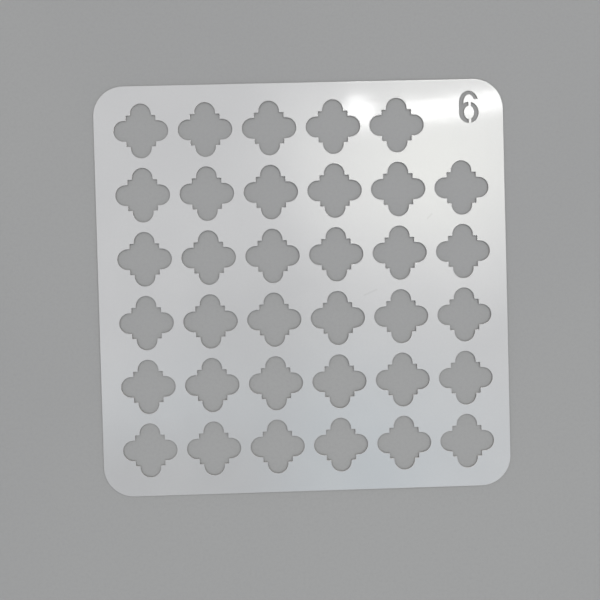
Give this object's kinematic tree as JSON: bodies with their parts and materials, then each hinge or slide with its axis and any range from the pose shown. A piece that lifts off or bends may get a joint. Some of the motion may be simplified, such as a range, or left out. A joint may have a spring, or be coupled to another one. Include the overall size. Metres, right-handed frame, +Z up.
{
  "type": "drawing stencil",
  "caption": "Thin square plastic sheet with rounded corners and a grid of stepped quatrefoil openings, for drawing or painting a repeat pattern, with a cut-out numeral in a corner.",
  "frame": {"origin": "middle of the sheet's underside, which lies on the table", "axes": "+Z up out of the face that is worked from, +Y towards the top edge of the numeral, +X to the right of the numeral"},
  "size_m": [0.13, 0.13, 0.0005],
  "materials": {
    "milky_plastic": "smooth milky white plastic sheet with a soft sheen, its cut edges faintly browned by the laser"
  },
  "bodies": {
    "root": {"stencil_sheet": "milky_plastic"}
  },
  "joints": []
}
